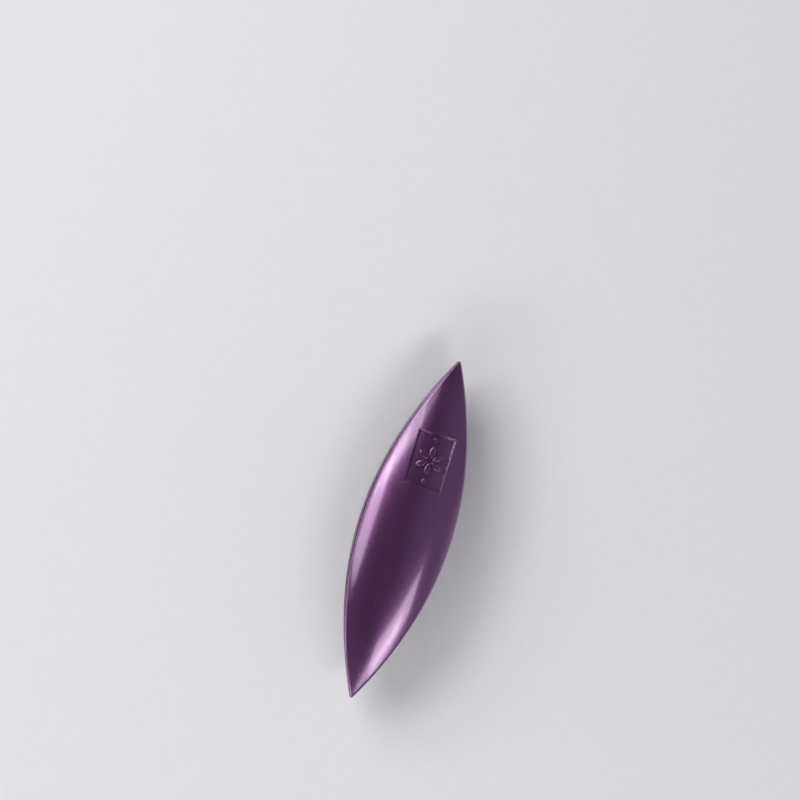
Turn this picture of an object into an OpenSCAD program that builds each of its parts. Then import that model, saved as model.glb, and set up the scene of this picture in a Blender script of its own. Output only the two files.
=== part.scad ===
// Post-type tatting shuttle: two boat-shaped blades on a centre post.
// The thread winds round the post, between the blades, and leaves between their closed tips.
// X runs from tip to tip with the panel towards +X, Y across, Z through both crowns.
// The origin is the middle of the thread hole. All sizes are in millimetres.

/* [Overall] */
// Length from tip to tip
length = 63; // [56:0.5:72]
// Width across the middle
width = 16.5; // [15:0.25:18.5]
// Thickness over the crowns of both blades
thickness = 13; // [12:0.25:15]
// Thickness over both blades at the very tips
tip_thickness = 1.8; // [1.4:0.1:2.4]
// Radius of each tip, seen from above
tip_r = 0.4; // [0.3:0.05:0.8]
// Angle between the two sides at each tip, in degrees
tip_angle = 52; // [46:1:60]
// Depth of the small flat on each crown, on which the shuttle lies still
rest_flat = 0.04; // [0.03:0.01:0.08]

/* [Blades] */
// Wall of each blade at its crown
wall = 1.3; // [1:0.05:1.6]
// Radius of each blade's outer face across its width
crown_r = 13.7; // [12:0.1:18]

/* [Centre post] */
// Length of the post
post_l = 13; // [11:0.5:15]
// Width of the post
post_w = 5; // [4:0.25:6]
// Height of the flat seat for the post, below each blade's inner crown
seat_h = 1; // [0.8:0.05:1.2]
// Ledge of that seat round the post
seat_ledge = 0.5; // [0.2:0.1:0.8]

/* [Pegs] */
// Radius of the pegs that join the post to the blades
peg_r = 1; // [0.7:0.05:1.3]
// Height of each peg above the post's end
peg_h = 1.3; // [0.8:0.05:1.5]
// Distance between the two pegs on each end
peg_pitch = 8; // [6:0.25:8.5]
// Room for glue round each peg and over its end
glue_gap = 0.03; // [0.02:0.01:0.08]

/* [Thread hole] */
// Radius of the hole through the post
hole_r = 0.9; // [0.5:0.05:1.4]
// Width of the bevel at each mouth of the hole
hole_bevel = 0.35; // [0.1:0.05:0.5]

/* [Panel] */
// Length of the sunk panel, along the shuttle
panel_l = 9.6; // [8.5:0.1:11]
// Width of the sunk panel
panel_w = 6.7; // [5:0.1:7.5]
// Distance from the post's middle to the panel's middle
panel_x = 13.1; // [12:0.1:14]
// Depth of the panel's floor below the blade's face
panel_depth = 0.5; // [0.2:0.05:0.7]
// Number of petals in the raised rosette
petals = 6; // [4:1:8]
// Width of each petal
petal_w = 1.1; // [0.7:0.05:1.3]
// Clear centre of the rosette, as a radius
rosette_eye = 0.35; // [0.2:0.05:0.8]
// Clear floor between the rosette and the panel's sides
rosette_margin = 0.65; // [0.4:0.05:1]
// Side of the small lozenge at each end of the panel
lozenge = 0.8; // [0.5:0.05:0.9]

/* [Hidden] */
$fn = 128;
blade_colour = [0.42, 0.29, 0.44];
post_colour = [0.38, 0.25, 0.40];
// How far a cutting solid runs past the face that it cuts
over = 0.5;

half_l = length / 2;
half_w = width / 2;
half_t = thickness / 2;

// Outline: from its middle each side runs through a rounder arc and then a straighter one, which
// meet smoothly, into a small circle at the tip. The knee is each arc's length along its tangents.
lean = tip_angle / 2;
tip_x = half_l - tip_r;
end_x = tip_x + tip_r * sin(lean);
fall = half_w - tip_r * cos(lean);
run = end_x * (1 + cos(lean)) + fall * sin(lean);
bend = 2 - 2 * cos(lean);
knee = (sqrt(run ^ 2 + bend * (end_x ^ 2 + fall ^ 2)) - run) / bend;
joint_lean = atan2(fall - knee * sin(lean), end_x - knee * (1 + cos(lean)));
side_r = knee / tan(joint_lean / 2);
flank_r = knee / tan((lean - joint_lean) / 2);
joint_x = side_r * sin(joint_lean);
side_y = half_w - side_r;
flank_x = (side_r - flank_r) * sin(joint_lean);
flank_y = side_y + (side_r - flank_r) * cos(joint_lean);

// Outer face: one circle across the blade, swept along another from tip to tip
crest = half_t + rest_flat;
drop = crest - tip_thickness / 2;
sweep_r = (half_l ^ 2 + drop ^ 2) / (2 * drop);
sweep_z = crest - sweep_r;
ring_r = sweep_r - crown_r;

seat_z = half_t - wall - seat_h;
rosette_r = panel_w / 2 - rosette_margin;
lozenge_x = (rosette_r + panel_l / 2) / 2;

// What a circle shares with its mirror image across the X axis
module lens(x, y, r) {
    intersection() {
        translate([x, y]) circle(r, $fn = 720);
        translate([x, -y]) circle(r, $fn = 720);
    }
}

// Plan of a blade's middle, up to the joints in its sides
module middle_plan() {
    intersection() {
        lens(0, side_y, side_r);
        square([2 * joint_x, width], center = true);
    }
}

// Plan of the end towards +X
module end_plan() {
    intersection() {
        lens(flank_x, flank_y, flank_r);
        translate([joint_x, -half_w]) square([end_x - joint_x, width]);
    }
    translate([tip_x, 0]) circle(tip_r);
}

// Everything under the blade's outer face, lowered by depth
module under_face(depth) {
    translate([0, 0, sweep_z])
        rotate([90, 0, 0])
            rotate_extrude($fn = 360)
                translate([ring_r - depth, 0]) circle(crown_r);
}

// A plan filled up to the blade's outer face
module filled() {
    intersection() {
        linear_extrude(half_t) children();
        under_face(0);
    }
}

// Straight bar with round ends
module bar(l, w) {
    square([l - w, w], center = true);
    for (side = [-1, 1]) translate([side * (l - w) / 2, 0]) circle(w / 2);
}

module at_pegs() {
    for (side = [-1, 1]) translate([side * peg_pitch / 2, 0, 0]) children();
}

// One blade, crown up: a shell with a flat seat and two blind holes for the post
module blade() {
    difference() {
        union() {
            filled() middle_plan();
            for (turn = [0, 180]) rotate(turn) filled() end_plan();
        }
        difference() {
            under_face(wall);
            translate([0, 0, seat_z])
                linear_extrude(half_t) bar(post_l + 2 * seat_ledge, post_w + 2 * seat_ledge);
        }
        at_pegs()
            translate([0, 0, seat_z - over])
                cylinder(h = peg_h + glue_gap + over, r = peg_r + glue_gap);
    }
}

// Pointed oval between two arcs, lying along X
module petal(l, w) {
    arc_r = (l ^ 2 + w ^ 2) / (4 * w);
    intersection() {
        translate([0, arc_r - w / 2]) circle(arc_r);
        translate([0, w / 2 - arc_r]) circle(arc_r);
    }
}

// Raised ornament of the panel: a rosette between two lozenges
module ornament() {
    for (turn = [0 : petals - 1])
        rotate(turn * 360 / petals)
            translate([(rosette_r + rosette_eye) / 2, 0]) petal(rosette_r - rosette_eye, petal_w);
    for (side = [-1, 1])
        translate([side * lozenge_x, 0]) rotate(45) square(lozenge, center = true);
}

// What is cut away to sink the panel and leave the ornament
module panel_cut() {
    translate([panel_x, 0, 0])
        linear_extrude(half_t + over)
            difference() {
                square([panel_l, panel_w], center = true);
                ornament();
            }
}

module upper_blade() {
    color(blade_colour)
        difference() {
            blade();
            difference() {
                panel_cut();
                under_face(panel_depth);
            }
        }
}

module lower_blade() {
    color(blade_colour) mirror([0, 0, 1]) blade();
}

module centre_post() {
    color(post_colour)
        difference() {
            union() {
                linear_extrude(2 * seat_z, center = true) bar(post_l, post_w);
                at_pegs() cylinder(h = 2 * (seat_z + peg_h), r = peg_r, center = true);
            }
            rotate([90, 0, 0]) cylinder(h = post_w + over, r = hole_r, center = true);
            for (side = [-90, 90])
                rotate([side, 0, 0])
                    translate([0, 0, post_w / 2 - hole_bevel])
                        cylinder(h = 2 * hole_bevel, r1 = hole_r, r2 = hole_r + 2 * hole_bevel);
        }
}

upper_blade();
lower_blade();
centre_post();
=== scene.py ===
"""Post-type tatting shuttle: two blades, a centre post, a panel ornament and their pearl plastic.

The shuttle lies on its lower blade, lit and seen from above. X runs from tip to tip with the sunk
panel towards +X, Y across, and Z up through both crowns. The origin is the middle of the thread
hole, and lengths are in metres.
"""

import math

import bmesh
import bpy
from mathutils import Matrix, Vector


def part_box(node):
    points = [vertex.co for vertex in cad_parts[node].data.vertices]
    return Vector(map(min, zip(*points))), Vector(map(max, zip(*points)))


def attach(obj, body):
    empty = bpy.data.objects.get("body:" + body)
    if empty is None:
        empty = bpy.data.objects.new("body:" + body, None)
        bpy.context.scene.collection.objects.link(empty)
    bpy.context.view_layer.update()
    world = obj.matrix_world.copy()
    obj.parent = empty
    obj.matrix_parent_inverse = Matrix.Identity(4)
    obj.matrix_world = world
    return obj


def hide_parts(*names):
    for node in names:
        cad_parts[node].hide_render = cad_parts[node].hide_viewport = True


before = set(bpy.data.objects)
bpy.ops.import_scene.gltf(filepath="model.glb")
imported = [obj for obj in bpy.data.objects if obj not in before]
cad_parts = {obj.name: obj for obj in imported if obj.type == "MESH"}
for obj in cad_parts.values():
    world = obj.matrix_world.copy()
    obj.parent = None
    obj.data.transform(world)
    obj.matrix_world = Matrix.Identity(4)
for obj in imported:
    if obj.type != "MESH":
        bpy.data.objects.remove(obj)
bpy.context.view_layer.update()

MM = 0.001
TINY = 1e-7

# ---------------------------------------------------------------- sizes

HALF_L, HALF_W, HALF_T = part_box("upper_blade")[1]
POST_L, POST_W = (2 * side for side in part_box("centre_post")[1][:2])

TIP_THICKNESS = 1.8 * MM
TIP_R = 0.4 * MM
TIP_ANGLE = math.radians(52)
WALL = 1.3 * MM
CROWN_R = 13.7 * MM
RIM_TOP_R = 0.5 * MM
RIM_LOW_R = 0.4 * MM
CONTACT_BLEND = 0.1 * MM

SEAT_H = 1.0 * MM
SEAT_LEDGE = 0.5 * MM
SEAT_EDGE_R = 0.15 * MM
SEAT_Z = HALF_T - WALL - SEAT_H
PEG_R = 1.0 * MM
PEG_H = 1.3 * MM
PEG_PITCH = 8.0 * MM
GLUE_GAP = 0.03 * MM
HOLE_R = 0.9 * MM
HOLE_LIP = 0.35 * MM

PANEL_L = 9.6 * MM
PANEL_W = 6.7 * MM
PANEL_X = 13.1 * MM
PANEL_DEPTH = 0.5 * MM
PANEL_EDGE_R = 0.14 * MM
PANEL_DRAFT = 0.12 * MM
PETALS = 6
PETAL_W = 1.1 * MM
ROSETTE_EYE = 0.35 * MM
ROSETTE_MARGIN = 0.65 * MM
ROSETTE_R = PANEL_W / 2 - ROSETTE_MARGIN
LOZENGE = 0.8 * MM
LOZENGE_X = (ROSETTE_R + PANEL_L / 2) / 2
RELIEF_EDGE_R = 0.22 * MM

# From its middle each side runs through a rounder arc and then a straighter one into a small circle
# at the tip. KNEE is each arc's length along its tangents.
LEAN = TIP_ANGLE / 2
TIP_X = HALF_L - TIP_R
END_X = TIP_X + TIP_R * math.sin(LEAN)
FALL = HALF_W - TIP_R * math.cos(LEAN)
RUN = END_X * (1 + math.cos(LEAN)) + FALL * math.sin(LEAN)
BEND = 2 - 2 * math.cos(LEAN)
KNEE = (math.sqrt(RUN**2 + BEND * (END_X**2 + FALL**2)) - RUN) / BEND
JOINT_LEAN = math.atan2(FALL - KNEE * math.sin(LEAN), END_X - KNEE * (1 + math.cos(LEAN)))
SIDE_R = KNEE / math.tan(JOINT_LEAN / 2)
FLANK_R = KNEE / math.tan((LEAN - JOINT_LEAN) / 2)
FLANK_X = (SIDE_R - FLANK_R) * math.sin(JOINT_LEAN)
FLANK_Y = HALF_W - SIDE_R + (SIDE_R - FLANK_R) * math.cos(JOINT_LEAN)

# The outer face is one circle across the blade, swept along another from tip to tip
DROP = HALF_T - TIP_THICKNESS / 2
SWEEP_R = (HALF_L**2 + DROP**2) / (2 * DROP)
SWEEP_Z = HALF_T - SWEEP_R
RING_R = SWEEP_R - CROWN_R

# ---------------------------------------------------------------- mesh helpers


def new_object(name, bm):
    """An object at the origin that holds the finished bmesh, with its faces turned outwards."""
    bmesh.ops.recalc_face_normals(bm, faces=bm.faces)
    mesh = bpy.data.meshes.new(name)
    bm.to_mesh(mesh)
    bm.free()
    obj = bpy.data.objects.new(name, mesh)
    bpy.context.scene.collection.objects.link(obj)
    return obj


def add_face(bm, *corners):
    """One face, leaving out corners that coincide at a pole."""
    kept = [v for i, v in enumerate(corners) if v is not corners[i - 1]]
    if len(kept) > 2:
        bm.faces.new(kept)


def solid_from_rings(name, rings):
    """A closed solid through rings of equally many points, capped at both ends."""
    bm = bmesh.new()
    loops = [[bm.verts.new(p) for p in ring] for ring in rings]
    for low, high in zip(loops, loops[1:]):
        for i in range(len(low)):
            add_face(bm, low[i - 1], low[i], high[i], high[i - 1])
    bm.faces.new(loops[0])
    bm.faces.new(loops[-1])
    return new_object(name, bm)


def applied(obj):
    """Turns the evaluated object into a plain mesh and removes its modifiers."""
    graph = bpy.context.evaluated_depsgraph_get()
    mesh = bpy.data.meshes.new_from_object(obj.evaluated_get(graph))
    obj.modifiers.clear()
    obj.data = mesh


def combined(obj, other, operation):
    """Adds or cuts another solid exactly, and deletes it."""
    modifier = obj.modifiers.new(operation, "BOOLEAN")
    modifier.operation = operation
    modifier.solver = "EXACT"
    modifier.object = other
    applied(obj)
    bpy.data.objects.remove(other)


def smooth(obj, angle=35):
    """Smooth shading, with edges sharper than the angle kept crisp."""
    mesh = obj.data
    mesh.polygons.foreach_set("use_smooth", [True] * len(mesh.polygons))
    mesh.set_sharp_from_angle(angle=math.radians(angle))
    return obj


def spread(start, end, count):
    """Evenly spaced values from start to end, both included."""
    return [start + (end - start) * i / (count - 1) for i in range(count)]


def bar_ring(length, width, inset, z, points=28):
    """Outline of a straight bar with round ends, drawn in by inset, at height z."""
    ring = []
    for side in (1, -1):
        for angle in spread(-math.pi / 2, math.pi / 2, points):
            x = (length - width) / 2 + (width / 2 - inset) * math.cos(angle)
            ring.append((side * x, side * (width / 2 - inset) * math.sin(angle), z))
    return ring


def circle_ring(x, z, radius, points=40):
    """Circle round the point x of the shuttle's long axis, at height z."""
    turn = 2 * math.pi / points
    angles = [i * turn for i in range(points)]
    return [(x + radius * math.cos(angle), radius * math.sin(angle), z) for angle in angles]


# ---------------------------------------------------------------- blades

# Each blade's outer face is a grid, which ends FACE_INSET inside the outline, where the rounded rim
# takes over. Its lines along the blade run straight over the core, which holds the panel, and fan
# out from there to the rim. The core reaches CORE_W from the middle, and less far near the tips.
FACE_INSET = 0.5 * MM
CORE_W = PANEL_W / 2 + 0.35 * MM
CORE_SHARE = 0.74
FACE_STATIONS = 150
TIP_STATIONS = 9
FACE_COLUMNS = 13
INNER_COLUMNS = 33
RIM_STEPS = 5
PANEL_EDGE_STEPS = 4

# Least distance of the grid's other lines from those that shape the panel's sides
STATION_GAP = 0.2 * MM
COLUMN_GAP = 0.03

# Insets at which the rim takes over the slopes of the outer and the inner face
OUTER_SLOPE_INSET = 0.2 * MM
INNER_SLOPE_INSET = 0.45 * MM


def face_z(x, y, depth=0.0):
    """Height of the blade's outer face, lowered by depth."""
    across = RING_R - depth + math.sqrt(CROWN_R**2 - y * y)
    return SWEEP_Z + math.sqrt(across * across - x * x)


def inner_z(x, y):
    """Height of the blade's inner face, which runs out softly into the flat where the tips meet."""
    z = face_z(x, y, WALL)
    return (z + math.hypot(z, CONTACT_BLEND)) / 2


def plan_point(beta, inset):
    """Point of the outline's +Y side, drawn in by inset, where the normal leans beta from +Y."""
    if abs(beta) <= JOINT_LEAN:
        x, y, radius = 0.0, HALF_W - SIDE_R, SIDE_R
    elif abs(beta) <= LEAN:
        x, y, radius = math.copysign(1, beta) * FLANK_X, FLANK_Y, FLANK_R
    else:
        x, y, radius = math.copysign(TIP_X, beta), 0.0, TIP_R
    return x + (radius - inset) * math.sin(beta), y + (radius - inset) * math.cos(beta)


def side_lean(x, inset):
    """Lean of the normal where the outline's side, drawn in by inset, passes x."""
    lean = math.asin(x / (SIDE_R - inset))
    if abs(lean) > JOINT_LEAN:
        lean = math.copysign(math.asin((abs(x) - FLANK_X) / (FLANK_R - inset)), x)
    return lean


def outward_drop(height, beta, inset):
    """Angle at which a face drops towards the outline, at an inset from it."""
    reach = 0.05 * MM
    inner, outer = (height(*plan_point(beta, inset + s * reach)) for s in (1, -1))
    return math.atan2(inner - outer, 2 * reach)


def rim_profile(beta):
    """Insets and heights of the rounded rim, from the outer face round to the inner face."""
    top = outward_drop(face_z, beta, OUTER_SLOPE_INSET)
    inset = RIM_TOP_R * (1 - math.sin(top))
    centre = face_z(*plan_point(beta, inset)) - RIM_TOP_R * math.cos(top)
    profile = []
    for angle in spread(top, math.pi / 2, RIM_STEPS + 1):
        profile.append((RIM_TOP_R * (1 - math.sin(angle)), centre + RIM_TOP_R * math.cos(angle)))
    low = outward_drop(inner_z, beta, INNER_SLOPE_INSET)
    inset = RIM_LOW_R * (1 + math.sin(low))
    centre = inner_z(*plan_point(beta, inset)) + RIM_LOW_R * math.cos(low)
    for angle in spread(math.pi / 2, math.pi + low, 2 * RIM_STEPS + 1):
        profile.append((RIM_LOW_R * (1 - math.sin(angle)), centre + RIM_LOW_R * math.cos(angle)))
    return profile


def step_lines():
    """Lines down the panel's side: distance into the panel and drop at each, with rounded edges."""
    support = 0.05 * MM
    radius = PANEL_EDGE_R
    lines = [(-radius - support, 0.0)]
    for angle in spread(0, math.pi / 2, PANEL_EDGE_STEPS):
        lines.append((radius * (math.sin(angle) - 1), radius * (1 - math.cos(angle))))
    for angle in spread(0, math.pi / 2, PANEL_EDGE_STEPS):
        into = PANEL_DRAFT + radius * (1 - math.cos(angle))
        lines.append((into, PANEL_DEPTH - radius * (1 - math.sin(angle))))
    lines.append((PANEL_DRAFT + radius + support, PANEL_DEPTH))
    return lines


def clear_of(values, lines, gap):
    """The values that lie further than gap from every line."""
    return [v for v in values if all(abs(v - line) > gap for line in lines)]


def stations(with_panel):
    """Cross-sections from tip to tip: lean of the outline's normal, and deepest drop allowed."""
    tip = [(beta, 0.0) for beta in spread(-math.pi / 2, -LEAN, TIP_STATIONS)[:-1]]
    end_x = FLANK_X + (FLANK_R - FACE_INSET) * math.sin(LEAN)
    lines = {}
    if with_panel:
        for into, drop in step_lines():
            lines[PANEL_X - PANEL_L / 2 + into] = drop
            lines[PANEL_X + PANEL_L / 2 - into] = drop
    for x in clear_of(spread(-end_x, end_x, FACE_STATIONS), lines, STATION_GAP):
        inside = with_panel and abs(x - PANEL_X) < PANEL_L / 2
        lines[x] = PANEL_DEPTH if inside else 0.0
    side = [(side_lean(x, FACE_INSET), lines[x]) for x in sorted(lines)]
    return tip + side + [(-beta, drop) for beta, drop in reversed(tip)]


def columns(with_panel):
    """Lines along the blade from its middle out: share of the core, share of the rest, and drop."""
    lines = {}
    if with_panel:
        lines = {(PANEL_W / 2 - into) / CORE_W: drop for into, drop in step_lines()}
    for share in clear_of(spread(0, 1, FACE_COLUMNS), lines, COLUMN_GAP):
        lines[share] = PANEL_DEPTH if with_panel and share * CORE_W < PANEL_W / 2 else 0.0
    core = [(share, 0.0, lines[share]) for share in sorted(lines)]
    return core + [(1.0, share, 0.0) for share in spread(0, 1, FACE_COLUMNS)[1:]]


def face_row(x, y_edge, half_columns, x_drop):
    """Points across the outer face at one station, from its +Y edge to its -Y edge."""
    core = min(CORE_W, CORE_SHARE * y_edge)
    half = []
    for core_share, outer_share, drop in half_columns:
        y = core * core_share + (y_edge - core) * outer_share
        half.append((y, face_z(x, y, min(drop, x_drop))))
    return [(x, y, z) for y, z in reversed(half)] + [(x, -y, z) for y, z in half[1:]]


def inner_row(x, y_edge):
    """Points across the inner face at one station, from its +Y edge to its -Y edge."""
    return [(x, y, inner_z(x, y)) for y in spread(y_edge, -y_edge, INNER_COLUMNS)]


def add_row(bm, points):
    """Vertices of one row, or a single shared one where the row has shrunk to a point."""
    if abs(points[0][1]) < TINY:
        return [bm.verts.new(points[0])] * len(points)
    return [bm.verts.new(p) for p in points]


def blade_shell(name, with_panel):
    """One blade, crown up, without its seat: outer face, rounded rim and inner face."""
    bm = bmesh.new()
    half_columns = columns(with_panel)
    outer, rims, inner = [], [], []
    for beta, x_drop in stations(with_panel):
        x, y = plan_point(beta, FACE_INSET)
        outer.append(add_row(bm, face_row(x, abs(y), half_columns, x_drop)))
        profile = rim_profile(beta)
        rim = []
        for inset, z in profile[:-1]:
            x, y = plan_point(beta, inset)
            rim.append(add_row(bm, [(x, abs(y), z), (x, -abs(y), z)]))
        rims.append(rim)
        x, y = plan_point(beta, profile[-1][0])
        inner.append(add_row(bm, inner_row(x, abs(y))))
    for i in range(len(outer) - 1):
        for grid in (outer, inner):
            for j in range(len(grid[0]) - 1):
                add_face(bm, grid[i][j], grid[i + 1][j], grid[i + 1][j + 1], grid[i][j + 1])
        for side in (0, -1):
            here, after = (
                [outer[j][side]] + [pair[side] for pair in rims[j]] + [inner[j][side]]
                for j in (i, i + 1)
            )
            for k in range(len(here) - 1):
                add_face(bm, here[k], here[k + 1], after[k + 1], after[k])
    return new_object(name, bm)


def peg_cylinder(name, side, radius, z_low, z_high):
    """A cylinder in the place of the pegs on one side of the thread hole."""
    x = side * PEG_PITCH / 2
    return solid_from_rings(name, [circle_ring(x, z, radius) for z in (z_low, z_high)])


def mirror_down(obj):
    """Mirrors a piece from crown up to crown down, and turns its faces outwards again."""
    obj.data.transform(Matrix.Diagonal((1, 1, -1, 1)))
    bm = bmesh.new()
    bm.from_mesh(obj.data)
    bmesh.ops.recalc_face_normals(bm, faces=bm.faces)
    bm.to_mesh(obj.data)
    bm.free()


def blade(name, with_panel, crown_up):
    """A finished blade: the shell with its flat seat for the post and the two blind peg holes."""
    obj = blade_shell(name, with_panel)
    length, width = POST_L + 2 * SEAT_LEDGE, POST_W + 2 * SEAT_LEDGE
    root = HALF_T - 0.7 * WALL
    rings = []
    for angle in spread(0, math.pi / 2, 4):
        inset = SEAT_EDGE_R * (1 - math.sin(angle))
        rings.append(bar_ring(length, width, inset, SEAT_Z + SEAT_EDGE_R * (1 - math.cos(angle))))
    rings.append(bar_ring(length, width, 0, root))
    combined(obj, solid_from_rings("seat", rings), "UNION")
    bottom, top = SEAT_Z - 1 * MM, SEAT_Z + PEG_H + GLUE_GAP
    for side in (-1, 1):
        combined(obj, peg_cylinder("peg_hole", side, PEG_R + GLUE_GAP, bottom, top), "DIFFERENCE")
    if not crown_up:
        mirror_down(obj)
    return smooth(obj)


# ---------------------------------------------------------------- centre post


def hole_cutter():
    """Shape of the thread hole, with a rounded lip at each mouth, as rings along Y."""
    points = 56
    half = []
    for angle in spread(0, math.pi / 2, 7):
        radius = HOLE_R + HOLE_LIP * (1 - math.cos(angle))
        half.append((POST_W / 2 - HOLE_LIP * (1 - math.sin(angle)), radius))
    half.append((POST_W / 2 + HOLE_LIP, HOLE_R + HOLE_LIP))
    path = [(-y, r) for y, r in reversed(half)] + half
    rings = [[(x, y, z) for x, z, _ in circle_ring(0, 0, r, points)] for y, r in path]
    return solid_from_rings("thread_hole", rings)


def post(name):
    """The block that the thread winds on, with its pegs and the thread hole."""
    rings = [bar_ring(POST_L, POST_W, 0, z) for z in spread(-SEAT_Z, SEAT_Z, 8)]
    obj = solid_from_rings(name, rings)
    end = SEAT_Z + PEG_H
    for side in (-1, 1):
        combined(obj, peg_cylinder("peg", side, PEG_R, -end, end), "UNION")
    combined(obj, hole_cutter(), "DIFFERENCE")
    return smooth(obj)


# ---------------------------------------------------------------- node trees


class Tree:
    """Short calls for building a node tree."""

    def __init__(self, tree):
        self.tree = tree

    def node(self, kind, values=None, **settings):
        """A node with its settings, and with values put on or linked to its input sockets."""
        node = self.tree.nodes.new(kind)
        for key, value in settings.items():
            setattr(node, key, value)
        for key, value in (values or {}).items():
            if isinstance(value, bpy.types.NodeSocket):
                self.tree.links.new(value, node.inputs[key])
            else:
                node.inputs[key].default_value = value
        return node

    def math(self, operation, *values):
        """Output of one operation on its values, taken in turn where there are more than two."""
        kind = "ShaderNodeMath"
        if len(values) == 1:
            return self.node(kind, {0: values[0]}, operation=operation).outputs[0]
        total = values[0]
        for value in values[1:]:
            total = self.node(kind, {0: total, 1: value}, operation=operation).outputs[0]
        return total

    def link(self, output, socket):
        """Joins an output to an input."""
        self.tree.links.new(output, socket)


# ---------------------------------------------------------------- panel ornament


def petal_ring(inset, z):
    """Pointed oval between two arcs, lying along X, drawn in by inset."""
    length = ROSETTE_R - ROSETTE_EYE
    arc_r = (length**2 + PETAL_W**2) / (4 * PETAL_W)
    offset = arc_r - PETAL_W / 2
    reach = math.acos(offset / (arc_r - inset))
    ring = []
    for side in (1, -1):
        for angle in spread(-reach, reach, 17)[:-1]:
            x = (arc_r - inset) * math.sin(angle)
            ring.append((side * x, side * ((arc_r - inset) * math.cos(angle) - offset), z))
    return ring


def lozenge_ring(inset, z):
    """A square on its corner, drawn in by inset."""
    reach = (LOZENGE / 2 - inset) * math.sqrt(2)
    return [(reach, 0, z), (0, reach, z), (-reach, 0, z), (0, -reach, z)]


def raised(name, ring):
    """A low solid that stands on the panel's floor, with a rounded top edge."""
    foot = 0.15 * MM
    shoulder = PANEL_DEPTH - RELIEF_EDGE_R
    rings = [ring(0, -foot), ring(0, shoulder)]
    for angle in spread(0, math.pi / 2, 5)[1:]:
        inset = RELIEF_EDGE_R * (1 - math.cos(angle))
        rings.append(ring(inset, shoulder + RELIEF_EDGE_R * math.sin(angle)))
    return solid_from_rings(name, rings)


def ornament_tree():
    """Geometry nodes that set petals in a ring between two lozenges and lay them on the floor."""
    tree = bpy.data.node_groups.new("panel_ornament", "GeometryNodeTree")
    face = tree.interface
    for name, kind in (
        ("Petal", "NodeSocketObject"),
        ("Lozenge", "NodeSocketObject"),
        ("Petal Count", "NodeSocketInt"),
        ("Petal Ring Radius", "NodeSocketFloat"),
        ("Lozenge Distance", "NodeSocketFloat"),
        ("Panel Distance", "NodeSocketFloat"),
        ("Sweep Centre Height", "NodeSocketFloat"),
        ("Floor Ring Radius", "NodeSocketFloat"),
        ("Crown Radius", "NodeSocketFloat"),
        ("Material", "NodeSocketMaterial"),
    ):
        face.new_socket(name, in_out="INPUT", socket_type=kind)
    face.new_socket("Geometry", in_out="OUTPUT", socket_type="NodeSocketGeometry")
    t = Tree(tree)
    given = t.node("NodeGroupInput").outputs

    # Petals in a ring, each with its point outwards
    turn = t.math("DIVIDE", 2 * math.pi, given["Petal Count"])
    index = t.node("GeometryNodeInputIndex").outputs[0]
    heading = t.node("ShaderNodeCombineXYZ", {"Z": t.math("MULTIPLY", index, turn)}).outputs[0]
    ring = t.node(
        "GeometryNodeMeshCircle",
        {"Vertices": given["Petal Count"], "Radius": given["Petal Ring Radius"]},
    )
    petal = t.node("GeometryNodeObjectInfo", {"Object": given["Petal"]})
    petals = t.node(
        "GeometryNodeInstanceOnPoints",
        {"Points": ring.outputs[0], "Instance": petal.outputs["Geometry"], "Rotation": heading},
    )

    # A lozenge on each side of them
    start = t.node("ShaderNodeCombineXYZ", {"X": t.math("MULTIPLY", given["Lozenge Distance"], -1)})
    step = t.node("ShaderNodeCombineXYZ", {"X": t.math("MULTIPLY", given["Lozenge Distance"], 2)})
    line = t.node(
        "GeometryNodeMeshLine",
        {"Count": 2, "Start Location": start.outputs[0], "Offset": step.outputs[0]},
    )
    lozenge = t.node("GeometryNodeObjectInfo", {"Object": given["Lozenge"]})
    lozenges = t.node(
        "GeometryNodeInstanceOnPoints",
        {"Points": line.outputs[0], "Instance": lozenge.outputs["Geometry"]},
    )

    join = t.node("GeometryNodeJoinGeometry")
    t.link(petals.outputs[0], join.inputs[0])
    t.link(lozenges.outputs[0], join.inputs[0])
    solid = t.node("GeometryNodeRealizeInstances", {"Geometry": join.outputs[0]})

    # Each point is lifted by the height of the panel's floor under it
    place = t.node("GeometryNodeInputPosition").outputs[0]
    part = t.node("ShaderNodeSeparateXYZ", {0: place}).outputs
    x = t.math("ADD", part["X"], given["Panel Distance"])
    across = t.math("POWER", given["Crown Radius"], 2)
    across = t.math("SQRT", t.math("SUBTRACT", across, t.math("POWER", part["Y"], 2)))
    across = t.math("POWER", t.math("ADD", across, given["Floor Ring Radius"]), 2)
    along = t.math("SQRT", t.math("SUBTRACT", across, t.math("POWER", x, 2)))
    z = t.math("ADD", part["Z"], along, given["Sweep Centre Height"])
    laid = t.node("ShaderNodeCombineXYZ", {"X": x, "Y": part["Y"], "Z": z})
    moved = t.node(
        "GeometryNodeSetPosition", {"Geometry": solid.outputs[0], "Position": laid.outputs[0]}
    )
    finish = t.node(
        "GeometryNodeSetMaterial", {"Geometry": moved.outputs[0], "Material": given["Material"]}
    )
    t.link(finish.outputs[0], t.node("NodeGroupOutput").inputs[0])
    return tree


def ornament(name, material):
    """The raised rosette between its two lozenges, as one piece on the panel's floor."""
    petal, lozenge = raised("petal", petal_ring), raised("lozenge", lozenge_ring)
    obj = new_object(name, bmesh.new())
    modifier = obj.modifiers.new("ornament", "NODES")
    modifier.node_group = ornament_tree()
    values = {
        "Petal": petal,
        "Lozenge": lozenge,
        "Petal Count": PETALS,
        "Petal Ring Radius": (ROSETTE_R + ROSETTE_EYE) / 2,
        "Lozenge Distance": LOZENGE_X,
        "Panel Distance": PANEL_X,
        "Sweep Centre Height": SWEEP_Z,
        "Floor Ring Radius": RING_R - PANEL_DEPTH,
        "Crown Radius": CROWN_R,
        "Material": material,
    }
    for item in modifier.node_group.interface.items_tree:
        if item.in_out == "INPUT":
            modifier[item.identifier] = values[item.name]
    applied(obj)
    for source in (petal, lozenge):
        bpy.data.objects.remove(source)
    return smooth(obj)


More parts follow.
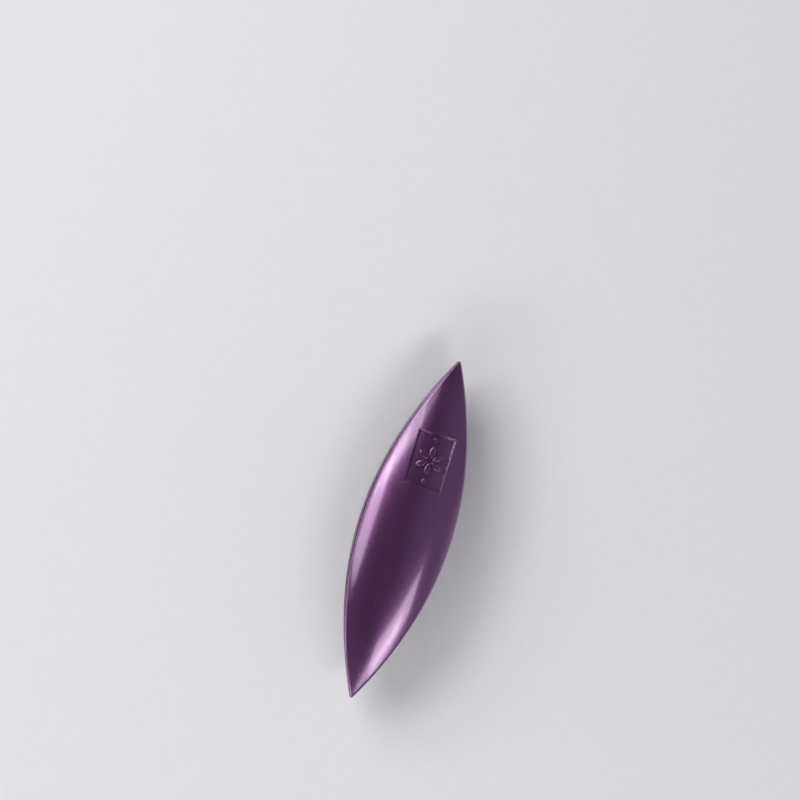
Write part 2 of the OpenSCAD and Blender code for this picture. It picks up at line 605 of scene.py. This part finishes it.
# ---------------------------------------------------------------- shader groups


def shader_group(name, inputs, outputs):
    """An empty shader node group with named sockets, and a Tree to fill it."""
    tree = bpy.data.node_groups.new(name, "ShaderNodeTree")
    for label, kind, default in inputs:
        socket = tree.interface.new_socket(label, in_out="INPUT", socket_type="NodeSocket" + kind)
        socket.default_value = default
    for label, kind in outputs:
        tree.interface.new_socket(label, in_out="OUTPUT", socket_type="NodeSocket" + kind)
    t = Tree(tree)
    return tree, t, t.node("NodeGroupInput").outputs, t.node("NodeGroupOutput").inputs


def ranged(t, value, low, high, start=0.0, end=1.0):
    """A value taken from one range to another, smoothly and without overshoot."""
    values = {"Value": value, "From Min": low, "From Max": high, "To Min": start, "To Max": end}
    node = t.node("ShaderNodeMapRange", values, interpolation_type="SMOOTHSTEP")
    return node.outputs["Result"]


def mixed(t, factor, first, second):
    """The first colour where the factor is 0, going over to the second where it is 1."""
    node = t.node("ShaderNodeMix", {"Factor": factor}, data_type="RGBA")
    for socket, colour in ((node.inputs[6], first), (node.inputs[7], second)):
        if isinstance(colour, bpy.types.NodeSocket):
            t.link(colour, socket)
        else:
            socket.default_value = colour
    return node.outputs[2]


def pigment_group():
    """Pearl pigment: slow flow streaks from moulding, soft mottle and fine flakes."""
    tree, t, given, out = shader_group(
        "pearl_pigment",
        [
            ("Deep", "Color", (0, 0, 0, 1)),
            ("Pearl", "Color", (1, 1, 1, 1)),
            ("Flow Length", "Float", 0.01),
            ("Mottle Size", "Float", 0.001),
            ("Flake Size", "Float", 0.0001),
        ],
        [("Color", "Color"), ("Flake", "Float")],
    )
    place = t.node("ShaderNodeTexCoord").outputs["Object"]
    drawn = t.node("ShaderNodeMapping", {"Vector": place, "Scale": (0.3, 1, 1)}).outputs[0]
    flow = t.node(
        "ShaderNodeTexNoise",
        {
            "Vector": drawn,
            "Scale": t.math("DIVIDE", 1, given["Flow Length"]),
            "Detail": 3,
            "Distortion": 0.6,
        },
    )
    mottle = t.node(
        "ShaderNodeTexNoise",
        {"Vector": place, "Scale": t.math("DIVIDE", 1, given["Mottle Size"]), "Detail": 2},
    )
    flake = t.node(
        "ShaderNodeTexVoronoi",
        {"Vector": place, "Scale": t.math("DIVIDE", 1, given["Flake Size"])},
    )
    glint = t.node("ShaderNodeSeparateColor", {0: flake.outputs["Color"]}).outputs[0]
    blend = t.math(
        "ADD",
        ranged(t, flow.outputs[0], 0.3, 0.7, 0, 0.6),
        ranged(t, mottle.outputs[0], 0.3, 0.7, 0, 0.2),
        ranged(t, glint, 0.0, 1.0, 0, 0.2),
    )
    t.link(mixed(t, blend, given["Deep"], given["Pearl"]), out["Color"])
    t.link(glint, out["Flake"])
    return tree


def marks_group():
    """Marks of moulding and handling: a fine orange peel, hairline scratches and specks of dust."""
    tree, t, given, out = shader_group(
        "surface_marks",
        [
            ("Peel Size", "Float", 0.0006),
            ("Scratch Width", "Float", 0.0001),
            ("Speck Spacing", "Float", 0.003),
            ("Speck Size", "Float", 0.05),
        ],
        [("Height", "Float"), ("Scratches", "Float"), ("Dust", "Float")],
    )
    place = t.node("ShaderNodeTexCoord").outputs["Object"]
    peel = t.node(
        "ShaderNodeTexNoise",
        {"Vector": place, "Scale": t.math("DIVIDE", 1, given["Peel Size"]), "Detail": 1},
    )

    # Two families of scratches, each in loose patches
    scratches = []
    for turn, seed in ((0.25, 0.0), (-0.6, 0.4)):
        values = {"Vector": place, "Rotation": (0, 0, turn), "Location": (seed, 0, 0)}
        turned = t.node("ShaderNodeMapping", values).outputs[0]
        drawn = t.node("ShaderNodeMapping", {"Vector": turned, "Scale": (0.012, 1, 0.3)}).outputs[0]
        lines = t.node(
            "ShaderNodeTexNoise",
            {"Vector": drawn, "Scale": t.math("DIVIDE", 1, given["Scratch Width"]), "Detail": 0},
        )
        patches = t.node("ShaderNodeTexNoise", {"Vector": turned, "Scale": 260, "Detail": 0})
        scratches.append(
            t.math(
                "MULTIPLY",
                ranged(t, lines.outputs[0], 0.69, 0.76),
                ranged(t, patches.outputs[0], 0.52, 0.62),
            )
        )
    scratch = t.math("MAXIMUM", *scratches)

    # Specks of uneven size, in about half of the cells
    cells = t.node(
        "ShaderNodeTexVoronoi",
        {"Vector": place, "Scale": t.math("DIVIDE", 1, given["Speck Spacing"])},
    )
    chance = t.node("ShaderNodeSeparateColor", {0: cells.outputs["Color"]}).outputs
    size = t.math("MULTIPLY", given["Speck Size"], ranged(t, chance[1], 0, 1, 0.4, 1))
    inside = t.math("LESS_THAN", cells.outputs["Distance"], size)
    speck = t.math("MULTIPLY", inside, t.math("GREATER_THAN", chance[0], 0.45))
    height = t.math("SUBTRACT", peel.outputs[0], t.math("MULTIPLY", scratch, 0.8))
    t.link(t.math("ADD", height, t.math("MULTIPLY", speck, 2)), out["Height"])
    t.link(scratch, out["Scratches"])
    t.link(speck, out["Dust"])
    return tree


def edge_group():
    """Edges that handling has rubbed brighter, and painted shade that darkens inner corners."""
    tree, t, given, out = shader_group(
        "edge_wear_and_corner_shade",
        [("Amount", "Float", 1.0), ("Depth", "Float", 1.0)],
        [("Wear", "Float"), ("Painted Shade", "Float")],
    )
    sharp = t.node("ShaderNodeNewGeometry").outputs["Pointiness"]
    place = t.node("ShaderNodeTexCoord").outputs["Object"]
    broken = t.node("ShaderNodeTexNoise", {"Vector": place, "Scale": 500, "Detail": 1}).outputs[0]
    rubbed = t.math("MULTIPLY", ranged(t, sharp, 0.52, 0.62), ranged(t, broken, 0.35, 0.6, 0.6, 1))
    t.link(t.math("MULTIPLY", rubbed, given["Amount"]), out["Wear"])
    # Painted shade: concave corners get darker, as if less light reached them
    t.link(t.math("MULTIPLY", ranged(t, sharp, 0.497, 0.44), given["Depth"]), out["Painted Shade"])
    return tree


# ---------------------------------------------------------------- materials

PIGMENT, MARKS, EDGES = pigment_group(), marks_group(), edge_group()
DEEP_PURPLE = (0.140, 0.050, 0.148, 1)
PEARL_PURPLE = (0.200, 0.076, 0.208, 1)
POST_DEEP = (0.090, 0.032, 0.100, 1)
POST_PEARL = (0.140, 0.054, 0.152, 1)
WORN_PURPLE = (0.36, 0.19, 0.38, 1)
# Colour of the painted shade in concave corners
PAINTED_CORNER_SHADE = (0.020, 0.008, 0.024, 1)
DUST_COLOUR = (0.55, 0.50, 0.56, 1)
PAPER_COLOURS = (0.90, 0.90, 0.905, 1), (0.94, 0.94, 0.945, 1)

FLOW_LENGTH = 9 * MM
MOTTLE_SIZE = 0.7 * MM
FLAKE_SIZE = 0.12 * MM
PEEL_SIZE = 0.6 * MM
PEEL_DEPTH = 0.0008 * MM
SCRATCH_WIDTH = 0.12 * MM
SPECK_SPACING = 3.2 * MM
SPECK_SHARE = 0.045


def pearl_plastic(name, deep, pearl, metallic, roughness, coat):
    """Moulded pearl plastic: a satin metallic body under a glossier skin."""
    material = bpy.data.materials.new(name)
    material.use_nodes = True
    t = Tree(material.node_tree)
    t.tree.nodes.clear()
    pigment = t.node(
        "ShaderNodeGroup",
        {
            "Deep": deep,
            "Pearl": pearl,
            "Flow Length": FLOW_LENGTH,
            "Mottle Size": MOTTLE_SIZE,
            "Flake Size": FLAKE_SIZE,
        },
        node_tree=PIGMENT,
    ).outputs
    marks = t.node(
        "ShaderNodeGroup",
        {
            "Peel Size": PEEL_SIZE,
            "Scratch Width": SCRATCH_WIDTH,
            "Speck Spacing": SPECK_SPACING,
            "Speck Size": SPECK_SHARE,
        },
        node_tree=MARKS,
    ).outputs
    edges = t.node("ShaderNodeGroup", {"Amount": 0.08, "Depth": 1.0}, node_tree=EDGES).outputs
    colour = mixed(t, edges["Wear"], pigment["Color"], WORN_PURPLE)
    # Painted shade darkens the concave corners, such as round the panel's floor and the relief's
    # foot
    colour = mixed(t, edges["Painted Shade"], colour, PAINTED_CORNER_SHADE)
    colour = mixed(t, t.math("MULTIPLY", marks["Dust"], 0.7), colour, DUST_COLOUR)
    rough = t.math(
        "ADD",
        roughness,
        ranged(t, pigment["Flake"], 0, 1, -0.02, 0.02),
        t.math("MULTIPLY", marks["Scratches"], 0.08),
        t.math("MULTIPLY", marks["Dust"], 0.3),
    )
    bump = t.node(
        "ShaderNodeBump",
        {"Height": marks["Height"], "Distance": PEEL_DEPTH, "Strength": 1.0},
    )
    skin = t.node(
        "ShaderNodeBsdfPrincipled",
        {
            "Base Color": colour,
            "Metallic": metallic,
            "Roughness": rough,
            "Normal": bump.outputs[0],
            "Coat Weight": coat,
            "Coat Roughness": 0.12,
            "Coat IOR": 1.65,
        },
    )
    t.link(skin.outputs[0], t.node("ShaderNodeOutputMaterial").inputs[0])
    return material


def floor_paper():
    """Pale matt paper of the studio floor."""
    material = bpy.data.materials.new("floor_paper")
    material.use_nodes = True
    t = Tree(material.node_tree)
    t.tree.nodes.clear()
    place = t.node("ShaderNodeTexCoord").outputs["Object"]
    grain = t.node("ShaderNodeTexNoise", {"Vector": place, "Scale": 700, "Detail": 3}).outputs[0]
    colour = mixed(t, grain, *PAPER_COLOURS)
    paper = t.node("ShaderNodeBsdfPrincipled", {"Base Color": colour, "Roughness": 0.85})
    t.link(paper.outputs[0], t.node("ShaderNodeOutputMaterial").inputs[0])
    return material


# ---------------------------------------------------------------- the shuttle


def make_shuttle():
    """All visible pieces, on the shuttle's one body, in place of the CAD nodes."""
    blade_finish = pearl_plastic("pearl_blade", DEEP_PURPLE, PEARL_PURPLE, 0.72, 0.24, 1.0)
    post_finish = pearl_plastic("pearl_post", POST_DEEP, POST_PEARL, 0.6, 0.38, 0.4)
    upper = blade("upper_blade_shell", with_panel=True, crown_up=True)
    lower = blade("lower_blade_shell", with_panel=False, crown_up=False)
    block = post("post_block")
    rosette = ornament("panel_rosette", blade_finish)
    for piece, finish, slot in (
        (upper, blade_finish, "pearl_blade"),
        (lower, blade_finish, "pearl_blade"),
        (block, post_finish, "pearl_post"),
        (rosette, blade_finish, "pearl_blade"),
    ):
        piece.data.materials.clear()
        piece.data.materials.append(finish)
        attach(piece, "root")
    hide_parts("upper_blade")
    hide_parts("lower_blade")
    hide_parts("centre_post")
    for node, finish in (
        ("upper_blade", blade_finish),
        ("lower_blade", blade_finish),
        ("centre_post", post_finish),
    ):
        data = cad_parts[node].data
        data.materials.clear()
        data.materials.append(finish)


# ---------------------------------------------------------------- camera

# The picture shows the shuttle from above, with its +X tip turned up and to the right, and leans a
# little over its long axis, so that the lower blade's rim shows on the left.
FRAME_PX = 800
PX_PER_MM = 5.6
CENTRE_PX = (405.0, 529.25)
TIP_TILT = math.radians(18)
SIDE_LEAN = math.radians(4.5)
LENS = 150
SENSOR = 36

TOWARDS_EYE = Vector((0, math.sin(SIDE_LEAN), math.cos(SIDE_LEAN)))
flat_up = Vector((math.cos(TIP_TILT), math.sin(TIP_TILT), 0))
PICTURE_UP = (flat_up - flat_up.dot(TOWARDS_EYE) * TOWARDS_EYE).normalized()
PICTURE_RIGHT = PICTURE_UP.cross(TOWARDS_EYE)


def facing(right, up, back, at):
    """Matrix that puts a camera or lamp at a point, looking against back."""
    turn = Matrix((right, up, back)).transposed().to_4x4()
    return Matrix.Translation(at) @ turn


def make_camera():
    """The picture's camera, at the distance where its frame is as wide as the picture."""
    width = FRAME_PX / PX_PER_MM * MM
    aim_right = (FRAME_PX / 2 - CENTRE_PX[0]) / PX_PER_MM * MM
    aim_up = (CENTRE_PX[1] - FRAME_PX / 2) / PX_PER_MM * MM
    aim = PICTURE_RIGHT * aim_right + PICTURE_UP * aim_up
    data = bpy.data.cameras.new("camera")
    data.lens = LENS
    data.sensor_width = SENSOR
    data.clip_start = 0.01
    data.clip_end = 20
    camera = bpy.data.objects.new("camera", data)
    bpy.context.scene.collection.objects.link(camera)
    at = aim + TOWARDS_EYE * (LENS / SENSOR * width)
    camera.matrix_world = facing(PICTURE_RIGHT, PICTURE_UP, TOWARDS_EYE, at)
    bpy.context.scene.camera = camera


# ---------------------------------------------------------------- light and floor

LAMP_HEIGHT = 0.6
FLOOR_R = 2.5

# Colours of the surroundings, away from the bright side and towards it
OVERHEAD = (0.06, 0.055, 0.07, 1), (0.27, 0.26, 0.30, 1)
HORIZON = (0.40, 0.40, 0.42, 1), (1.0, 0.96, 1.1, 1)
BACKDROP = (0.86, 0.86, 0.87, 1)
BRIGHT_SIDE = (PICTURE_RIGHT - 0.18 * PICTURE_UP).normalized()


def softbox(name, centre, size, turn, radiance, level=1.0):
    """A rectangular lamp in a plane above the shuttle, placed and sized in parts of its height.

    The turn is in degrees. The level is a share of LAMP_HEIGHT, and keeps apart the lamps that
    overlap in the same plane.
    """
    height = LAMP_HEIGHT * level
    data = bpy.data.lights.new(name, "AREA")
    data.shape = "RECTANGLE"
    data.size, data.size_y = (side * height for side in size)
    area = data.size * data.size_y
    data.energy = radiance * math.pi * area
    lamp = bpy.data.objects.new(name, data)
    bpy.context.scene.collection.objects.link(lamp)
    angle = math.radians(turn)
    right = PICTURE_RIGHT * math.cos(angle) + PICTURE_UP * math.sin(angle)
    up = TOWARDS_EYE.cross(right)
    at = (PICTURE_RIGHT * centre[0] + PICTURE_UP * centre[1] + TOWARDS_EYE) * height
    lamp.matrix_world = facing(right, up, TOWARDS_EYE, at)


def make_world():
    """Studio surroundings: pale round the horizon, brightest on one side, and darker overhead."""
    world = bpy.data.worlds.new("studio")
    world.use_nodes = True
    bpy.context.scene.world = world
    t = Tree(world.node_tree)
    t.tree.nodes.clear()
    way = t.node("ShaderNodeTexCoord").outputs["Generated"]
    rise = t.node("ShaderNodeSeparateXYZ", {0: way}).outputs["Z"]
    both = {0: way, 1: BRIGHT_SIDE}
    side = t.node("ShaderNodeVectorMath", both, operation="DOT_PRODUCT").outputs["Value"]
    above = mixed(t, ranged(t, side, 0.0, 0.8), *OVERHEAD)
    level = mixed(t, ranged(t, side, 0.75, 0.95), *HORIZON)
    around = mixed(t, ranged(t, rise, 0.0, 0.45), level, above)
    seen = t.node("ShaderNodeLightPath").outputs["Is Camera Ray"]
    colour = mixed(t, seen, around, BACKDROP)
    sky = t.node("ShaderNodeBackground", {"Color": colour, "Strength": 1.0})
    t.link(sky.outputs[0], t.node("ShaderNodeOutputWorld").inputs[0])


def make_floor():
    """A round sheet of paper, on which the lower blade's crown rests."""
    bm = bmesh.new()
    bmesh.ops.create_circle(bm, cap_ends=True, segments=96, radius=FLOOR_R)
    bmesh.ops.translate(bm, verts=bm.verts, vec=(0, 0, -HALF_T))
    floor = new_object("floor", bm)
    floor.data.materials.append(floor_paper())


def make_light():
    """Softboxes for the highlights on both sides of the blade, and three wide ones round them."""
    softbox("left_softbox", (-1.42, 0.42), (1.05, 0.72), -20, 2.9)
    softbox("left_core", (-1.0, 0.60), (1.0, 0.14), 0, 3.3, 0.98)
    softbox("upper_softbox", (-0.64, 0.684), (0.86, 0.40), 4, 3.2, 0.99)
    softbox("upper_end", (-0.13, 0.73), (0.34, 0.26), 26, 1.6)
    softbox("right_softbox", (0.62, -0.85), (0.92, 0.40), 10, 3.4)
    softbox("right_core", (0.52, -0.90), (0.56, 0.14), 10, 4.4, 0.98)
    softbox("right_end", (0.07, -0.99), (0.34, 0.16), 35, 3.3, 0.97)
    softbox("back_softbox", (-1.15, 1.45), (1.70, 0.9), 0, 5.5)
    softbox("front_softbox", (-1.20, -1.90), (2.00, 1.1), 0, 6.5)
    softbox("side_softbox", (-2.90, 0.60), (1.20, 1.8), 0, 1.3)


make_camera()
make_shuttle()
make_floor()
make_world()
make_light()
bpy.context.scene.view_settings.view_transform = "Standard"
